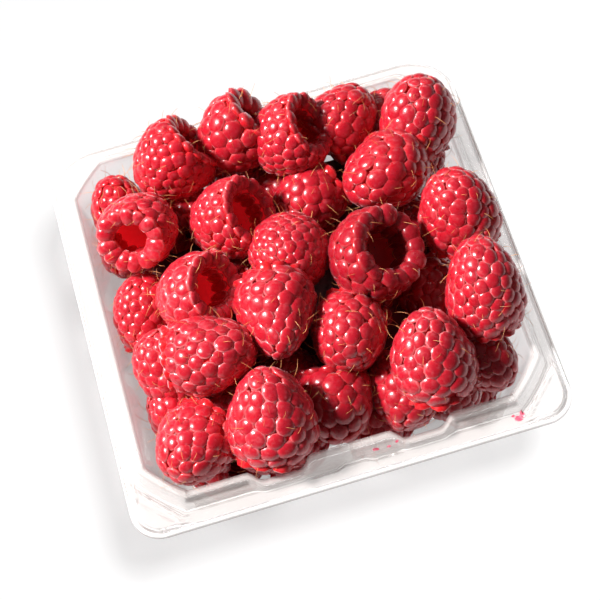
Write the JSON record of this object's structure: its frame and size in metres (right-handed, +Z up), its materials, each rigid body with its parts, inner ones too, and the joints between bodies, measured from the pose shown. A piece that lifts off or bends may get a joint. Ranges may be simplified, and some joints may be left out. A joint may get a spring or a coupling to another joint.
{
  "type": "punnet of raspberries",
  "caption": "Open clear plastic punnet with a raised, notched rim and a flat flange, heaped above its rim with fresh red raspberries.",
  "frame": {"origin": "centre of the punnet floor's underside, which is the bottom centre of the object's box", "axes": "+Z up out of the punnet's mouth, +X along the front edge, the one with the two vent notches, and -Y towards that front edge"},
  "size_m": [0.122, 0.1184, 0.0606],
  "materials": {
    "clear_plastic": "clear thermoformed plastic, glossy",
    "raspberry": "moist fruit, soft uneven gloss",
    "raspberry_hair": "dry golden hairs",
    "juice": "thin pink juice"
  },
  "bodies": {
    "root": {"punnet": "clear_plastic", "raspberries": "raspberry"}
  },
  "joints": []
}
